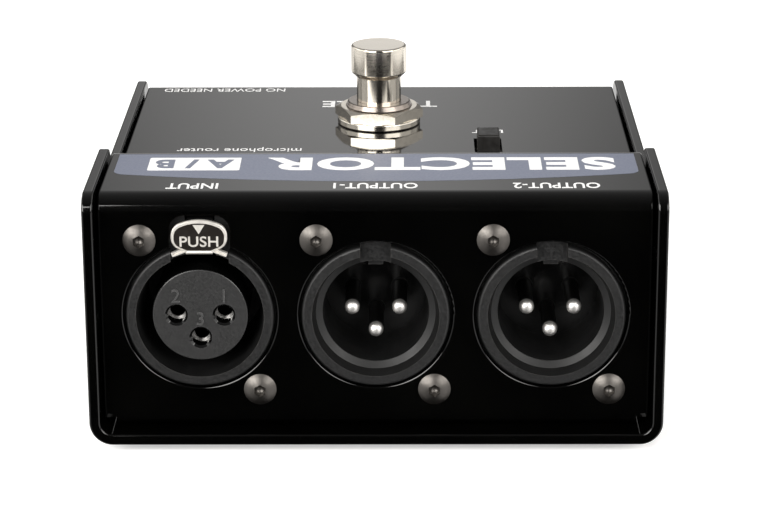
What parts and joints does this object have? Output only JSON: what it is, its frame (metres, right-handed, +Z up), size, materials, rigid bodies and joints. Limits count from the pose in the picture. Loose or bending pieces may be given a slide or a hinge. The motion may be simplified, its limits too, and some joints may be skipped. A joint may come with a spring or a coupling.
{
  "type": "microphone switch box",
  "caption": "Floor box in folded black steel with a locking XLR input, XLR outputs side by side, a momentary footswitch and a small slide switch.",
  "frame": {"origin": "centre of the bottom of the whole box, on the surface it stands on", "axes": "+X to the right when looking at the connector face, +Y from the connector face to the rear, +Z up"},
  "size_m": [0.0934, 0.0992, 0.052],
  "materials": {
    "black_enamel": "smooth gloss black enamel over folded steel",
    "black_enamel_cover": "smooth gloss black enamel over folded steel, printed on the decks",
    "pad_rubber": "dense foamed rubber sheet, fine grain",
    "zinc_screw": "dull grey zinc-nickel plate",
    "bright_steel": "bright zinc plate",
    "housing_black": "moulded black nylon with fine grain",
    "well_black": "moulded black nylon, satin to gloss",
    "insert_grey": "moulded dark grey nylon",
    "silver_contact": "silver plate",
    "latch_nickel": "bright nickel plate",
    "latch_black": "dark inlay",
    "spring_steel": "music wire",
    "button_nickel": "satin nickel plate",
    "nut_nickel": "bright nickel plate",
    "case_plastic": "moulded phenolic",
    "brass_contact": "plain brass",
    "lug_tin": "tinned brass",
    "knob_black": "moulded black plastic",
    "can_steel": "nickel plated steel sheet",
    "board_green": "green solder mask over glass epoxy",
    "resistor_blue": "blue lacquer",
    "wire_red": "red wire insulation",
    "wire_blue": "blue wire insulation"
  },
  "bodies": {
    "box": {"base_shell": "black_enamel", "base_pad": "pad_rubber", "top_cover": "black_enamel_cover", "cover_screws": "zinc_screw", "flange_nuts": "bright_steel", "connector_screws": "zinc_screw", "input_housing": "housing_black", "input_insert": "insert_grey", "input_contacts": "silver_contact", "output_1_housing": "well_black", "output_1_insert": "well_black", "output_1_pins": "silver_contact", "output_2_housing": "well_black", "output_2_insert": "well_black", "output_2_pins": "silver_contact", "input_latch_pin": "bright_steel", "input_latch_spring": "spring_steel", "footswitch_spring": "spring_steel", "footswitch_bushing": "nut_nickel", "footswitch_nut": "nut_nickel", "footswitch_washer": "nut_nickel", "footswitch_lock_washer": "bright_steel", "footswitch_inner_nut": "nut_nickel", "footswitch_frame": "can_steel", "footswitch_case": "case_plastic", "footswitch_lugs": "lug_tin", "slide_switch_can": "can_steel", "slide_switch_base": "case_plastic", "slide_switch_terminals": "lug_tin", "slide_switch_studs": "bright_steel", "slide_switch_nuts": "bright_steel", "main_board": "board_green", "board_resistors": "resistor_blue", "footswitch_wires": "wire_red", "slide_switch_wires": "wire_blue"},
    "footswitch_button": {"footswitch_cap": "button_nickel", "footswitch_plunger": "case_plastic", "footswitch_bridge": "brass_contact"},
    "slide_knob": {"slide_switch_knob": "knob_black", "slide_switch_wiper": "brass_contact"},
    "latch_lever": {"input_latch": "latch_nickel", "input_latch_inlay": "latch_black"}
  },
  "joints": [
    {"name": "footswitch_press", "type": "slide", "parent": "box", "child": "footswitch_button", "axis": [0, 0, -1], "range_m": [0, 0.003], "stiffness_N_per_m": 4000, "springref_m": -0.003, "deforming": ["footswitch_spring"]},
    {"name": "slide_switch_travel", "type": "slide", "parent": "box", "child": "slide_knob", "axis": [0, 1, 0], "range_m": [0, 0.0028]},
    {"name": "latch_press", "type": "hinge", "parent": "box", "child": "latch_lever", "pos_m": [-0.0282, -0.0436, 0.0377], "axis": [1, 0, 0], "range_deg": [0, 12], "stiffness_Nm_per_rad": 0.06, "springref_deg": -8.59, "deforming": ["input_latch_spring"]}
  ]
}
